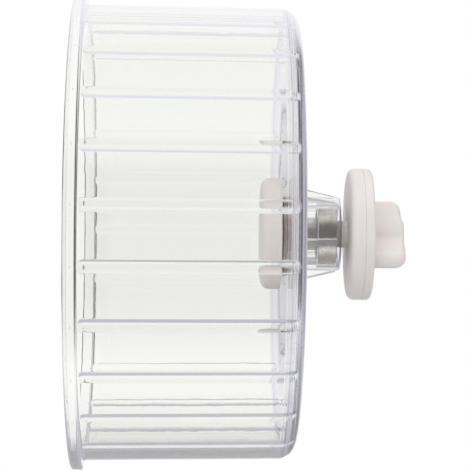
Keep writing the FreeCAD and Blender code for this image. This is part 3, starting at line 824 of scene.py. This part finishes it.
# Rows: the flat top drawn in step by step towards the middle, the round at the outer edge, the straight side, the
# flat base, and the two bores, whose points stand at the plan's own angles.
edge_turn = np.linspace(0, np.pi / 2, 9)[::-1]
edge_inset = KNOB_ROUND * (1 - np.cos(edge_turn))
edge_y = KNOB_END - KNOB_ROUND + KNOB_ROUND * np.sin(edge_turn)
side_rows = [*zip(edge_inset, edge_y), (0.0, KNOB_END - KNOB_ROUND - 0.4), (0.0, KNOB_WAIST), (0.0, PLATE_END + 0.5),
             (0.05, PLATE_END + 0.12), (0.2, PLATE_END), (0.5, PLATE_END)]
bore_rows = [(KNOB_BASE_MOUTH, PLATE_END), (INSERT_RADIUS, PLATE_END + 0.1), (INSERT_RADIUS, INSERT_END - 0.1),
             (INSERT_RADIUS - 0.1, INSERT_END), (BOLT_SPACE, INSERT_END), (BOLT_SPACE, BOLT_SPACE_END - 0.2),
             (BOLT_SPACE - 0.2, BOLT_SPACE_END)]
top_plan = knob_plan(KNOB_ROUND)
plan_angle = np.arctan2(top_plan[:, 1], top_plan[:, 0])
plan_circle = np.stack([np.cos(plan_angle), np.sin(plan_angle)], -1)
knob_rows = [(top_plan * share, KNOB_END) for share in KNOB_TOP_SHARES]
knob_rows += [(knob_plan(inset), y) for inset, y in side_rows]
knob_rows += [(plan_circle * radius, y) for radius, y in bore_rows]
knob_grid = np.stack([np.insert(plan, 1, y, 1) for plan, y in knob_rows])

# The wings' ends drop in a round, and the knob stands turned on the bolt.
past = np.clip(np.abs(knob_grid[..., 0]) - (WING_REACH - WING_CORNER), 0, WING_CORNER)
lower = (WING_CORNER - np.sqrt(WING_CORNER ** 2 - past ** 2)) / (KNOB_END - PLATE_END)
knob_grid[..., 1] -= (knob_grid[..., 1] - PLATE_END) * lower
turn_cos, turn_sin = np.cos(WING_TURN), np.sin(WING_TURN)
knob_grid = np.stack([
    turn_cos * knob_grid[..., 0] + turn_sin * knob_grid[..., 2],
    knob_grid[..., 1],
    -turn_sin * knob_grid[..., 0] + turn_cos * knob_grid[..., 2],
], -1)
knob_poles = np.array([[0, KNOB_END, 0], [0, BOLT_SPACE_END, 0]])
wing_knob = add_piece("wing_knob_moulding", [shell_of(knob_grid, knob_poles)], white_plastic)
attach(wing_knob, "knob")
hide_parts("wing_knob")

# KNOB INSERT
# A turned brass bush with an M8 thread, moulded into the knob's base.
# Its end stands flush with the base.
BRASS = (0.66, 0.48, 0.2)
BRASS_DULL = (0.5, 0.35, 0.15)
BUSH_BORE = BOLT_RADIUS + 0.06
BUSH_RADIUS = INSERT_RADIUS - 0.02
turned_brass = metal_finish("turned_brass", BRASS, BRASS_DULL, roughness=(0.2, 0.36), fineness=5200.0, depth=1.5e-5)
insert = add_piece("knob_insert_bush", [turned(rounded_outline([
    (BUSH_BORE, PLATE_END, 0.35, 3), (BUSH_RADIUS, PLATE_END, 0.25, 3),
    (BUSH_RADIUS, INSERT_END, 0.25, 3), (BUSH_BORE, INSERT_END, 0.2, 3),
]), BOLT_COLUMNS)], turned_brass)
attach(insert, "knob")
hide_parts("knob_insert")

# FLOOR
# A plain pale floor below the wheel. Near the middle it is a lit matt surface that keeps the wheel's shadow,
# and further out it turns into the even white of the background.
FLOOR_HEIGHT = -125.0
FLOOR_RADIUS = 420.0
FLOOR_MIDDLE = -60.0
FLOOR_RINGS = 24
FLOOR_COLUMNS = 96
FLOOR_WHITE = (0.42, 0.42, 0.42)
FLOOR_SPECK = (0.39, 0.39, 0.39)
FLOOR_FADE = (0.20, 0.31)
FLOOR_FILL = 0.48
# Where the fill starts for rays from the plastic: behind it the floor carries painted shade.
FLOOR_FILL_START = (0.0, 0.11)
FLOOR_BOUNCE = 0.3
FLOOR_FRONT_EDGE = (0.08, 0.165)
FLOOR_ROOM = 0.06
floor_white, tree, _ = new_material("pale_floor")
tree.nodes.remove(tree.nodes["Principled BSDF"])
light_path = add_node(tree, "LightPath").outputs
position = add_node(tree, "TexCoord").outputs["Object"]
forward = add_node(tree, "SeparateXYZ", {0: position}).outputs[0]
from_middle = add_node(tree, "VectorMath", {0: position}, operation="LENGTH").outputs["Value"]
speckle = add_node(tree, "TexNoise", {"Vector": position, "Scale": 900.0}).outputs[0]
seen = combine(tree, "ADD", light_path["Is Camera Ray"], light_path["Is Glossy Ray"])
seen = combine(tree, "ADD", seen, light_path["Is Transmission Ray"])

# The matt paint has a fill. The camera sees it everywhere; rays from the plastic see it only on the near side, so
# that behind the wheel they meet painted shade, and matt surfaces get a weaker one.
matt = add_node(tree, "BsdfDiffuse", {"Color": blend_colours(tree, speckle, FLOOR_WHITE, FLOOR_SPECK)}).outputs[0]
fill = combine(tree, "MAXIMUM", light_path["Is Camera Ray"], spread(tree, forward, *FLOOR_FILL_START))
fill = combine(tree, "MULTIPLY", combine(tree, "MULTIPLY", fill, seen), FLOOR_FILL)
fill = combine(tree, "ADD", fill, combine(tree, "MULTIPLY", light_path["Is Diffuse Ray"], FLOOR_BOUNCE))
lit = add_node(tree, "AddShader", {0: matt, 1: add_node(tree, "Emission", {"Strength": fill}).outputs[0]}).outputs[0]

# Further out it is even white, and in mirrorings its front edge is as dark as the room.
even = combine(tree, "MULTIPLY", seen, spread(tree, from_middle, *FLOOR_FADE))
white = add_node(tree, "Emission", {"Strength": 1.0}).outputs[0]
surface = add_node(tree, "MixShader", {0: even, 1: lit, 2: white}).outputs[0]
mirrored = combine(tree, "ADD", light_path["Glossy Depth"], 0.0, use_clamp=True)
front_edge = combine(tree, "MULTIPLY", mirrored, spread(tree, forward, *FLOOR_FRONT_EDGE))
room = add_node(tree, "Emission", {"Strength": FLOOR_ROOM}).outputs[0]
surface = add_node(tree, "MixShader", {0: front_edge, 1: surface, 2: room}).outputs[0]
tree.links.new(surface, tree.nodes["Material Output"].inputs["Surface"])
floor_reach = np.linspace(0, 1, FLOOR_RINGS + 1)[1:, None] * FLOOR_RADIUS
floor_turn = around(FLOOR_COLUMNS)
floor_points = np.stack(np.broadcast_arrays(
    floor_reach * np.cos(floor_turn), FLOOR_MIDDLE + floor_reach * np.sin(floor_turn), FLOOR_HEIGHT), -1)
floor_points = np.vstack([floor_points.reshape(-1, 3), [0.0, FLOOR_MIDDLE, FLOOR_HEIGHT]]) * MM
floor_faces = grid_faces(FLOOR_RINGS, FLOOR_COLUMNS, False).tolist()
floor_faces += pole_faces(FLOOR_RINGS, FLOOR_COLUMNS)[:FLOOR_COLUMNS].tolist()
floor_mesh = bpy.data.meshes.new("floor")
floor_mesh.from_pydata(floor_points.tolist(), [], floor_faces)
floor_mesh.materials.append(floor_white)
floor = bpy.data.objects.new("floor", floor_mesh)
bpy.context.scene.collection.objects.link(floor)

# LIGHT
# A white studio: an even ambient, a large soft lamp overhead and a weaker one in front.
# Gloss and clear plastic see white behind and below, and the darker room on the camera's side and at both flanks.
WHITE = (1.0, 1.0, 1.0)
AMBIENT = (0.92, 0.92, 0.92)
ROOM = (0.07, 0.07, 0.07)
FLANK_MOUTH = (0.03, 0.03, 0.03)
FLANK_KNOB = (0.06, 0.06, 0.06)
TOP = (0.90, 0.90, 0.90)
BACKDROP_EDGE = (0.80, 0.93, 1.0, 0.0)
ROOM_TOP = (0.48, 0.87, 1.0, 0.0)
ROOM_FOOT = (-0.24, -0.12)
ROOM_NEAR = (-0.75, -0.25)
FLANK_NEAR = (0.1, 0.35)
FLANK_CHANGE = (-0.1, 0.1)
TOP_START = (0.82, 0.97)
LAMP_AIM = (0.0, -0.05, 0.0)
LAMPS = (
    ("overhead_softbox", (0.50, -0.15, 0.80), 1.2, 1.35),
    ("front_softbox", (0.85, -0.40, 0.20), 0.6, 1.2),
)
world = bpy.data.worlds.new("studio")
world.use_nodes = True
bpy.context.scene.world = world
tree = world.node_tree
light_path = add_node(tree, "LightPath").outputs
direction = add_node(tree, "SeparateXYZ", {0: add_node(tree, "TexCoord").outputs["Generated"]}).outputs
level = add_node(tree, "CombineXYZ", {0: direction[0], 1: direction[1]}).outputs[0]
level = add_node(tree, "VectorMath", {0: level}, operation="NORMALIZE").outputs[0]
towards_back = add_node(tree, "VectorMath", {0: level, 1: (-1.0, 0.0, 0.0)}, operation="DOT_PRODUCT").outputs["Value"]

# The dark of the room lies below the top and off the backdrop. Rays that pass straight through the clear plastic
# see it only beside the backdrop, and mirrored rays see it all round.
sideways = combine(tree, "MULTIPLY", spread(tree, direction[2], *ROOM_FOOT), spread(tree, towards_back, *FLANK_NEAR))
reach = combine(tree, "ADD", sideways, light_path["Glossy Depth"], use_clamp=True)
dark = combine(tree, "MULTIPLY", spread(tree, direction[2], *ROOM_TOP), reach)
dark = combine(tree, "MULTIPLY", dark, spread(tree, towards_back, *BACKDROP_EDGE))
flank = blend_colours(tree, spread(tree, direction[1], *FLANK_CHANGE), FLANK_MOUTH, FLANK_KNOB)
shade = blend_colours(tree, spread(tree, towards_back, *ROOM_NEAR), ROOM, flank)
bright = blend_colours(tree, spread(tree, direction[2], *TOP_START), WHITE, TOP)
room = blend_colours(tree, dark, bright, shade)
mirrored = combine(tree, "ADD", light_path["Is Glossy Ray"], light_path["Is Transmission Ray"])
even = blend_colours(tree, light_path["Is Camera Ray"], AMBIENT, WHITE)
tree.links.new(blend_colours(tree, mirrored, even, room), tree.nodes["Background"].inputs["Color"])


def facing(place, aim):
    """Turn that points an object's -Z axis from its place at an aim, with its Y axis upwards."""
    return (Vector(aim) - Vector(place)).to_track_quat("-Z", "Y")


for lamp_name, lamp_place, size, watts in LAMPS:
    lamp = bpy.data.lights.new(lamp_name, "AREA")
    lamp.size = size
    lamp.energy = watts
    lamp_object = bpy.data.objects.new(lamp_name, lamp)
    lamp_object.location = lamp_place
    lamp_object.rotation_mode = "QUATERNION"
    lamp_object.rotation_quaternion = facing(lamp_place, LAMP_AIM)
    lamp_object.visible_camera = False
    lamp_object.visible_glossy = False
    lamp_object.visible_transmission = False
    bpy.context.scene.collection.objects.link(lamp_object)

# CAMERA
# Level with the axle and square to it, opposite the drum's near half, with a long lens.
# A slight roll follows the photograph.
IMAGE = 470
FOCAL_PIXELS = 2100.0
SENSOR = 36.0
CAMERA_PLACE = (0.777, -0.067, 0.0)
CAMERA_AIM = (0.0, -0.0467, -0.00065)
CAMERA_ROLL = np.radians(0.45)
camera_data = bpy.data.cameras.new("camera")
camera_data.sensor_width = SENSOR
camera_data.lens = FOCAL_PIXELS / IMAGE * SENSOR
camera = bpy.data.objects.new("camera", camera_data)
camera.location = CAMERA_PLACE
camera.rotation_mode = "QUATERNION"
camera.rotation_quaternion = facing(CAMERA_PLACE, CAMERA_AIM) @ Quaternion((0.0, 0.0, 1.0), CAMERA_ROLL)
bpy.context.scene.collection.objects.link(camera)
bpy.context.scene.camera = camera
bpy.context.scene.view_settings.view_transform = "Standard"
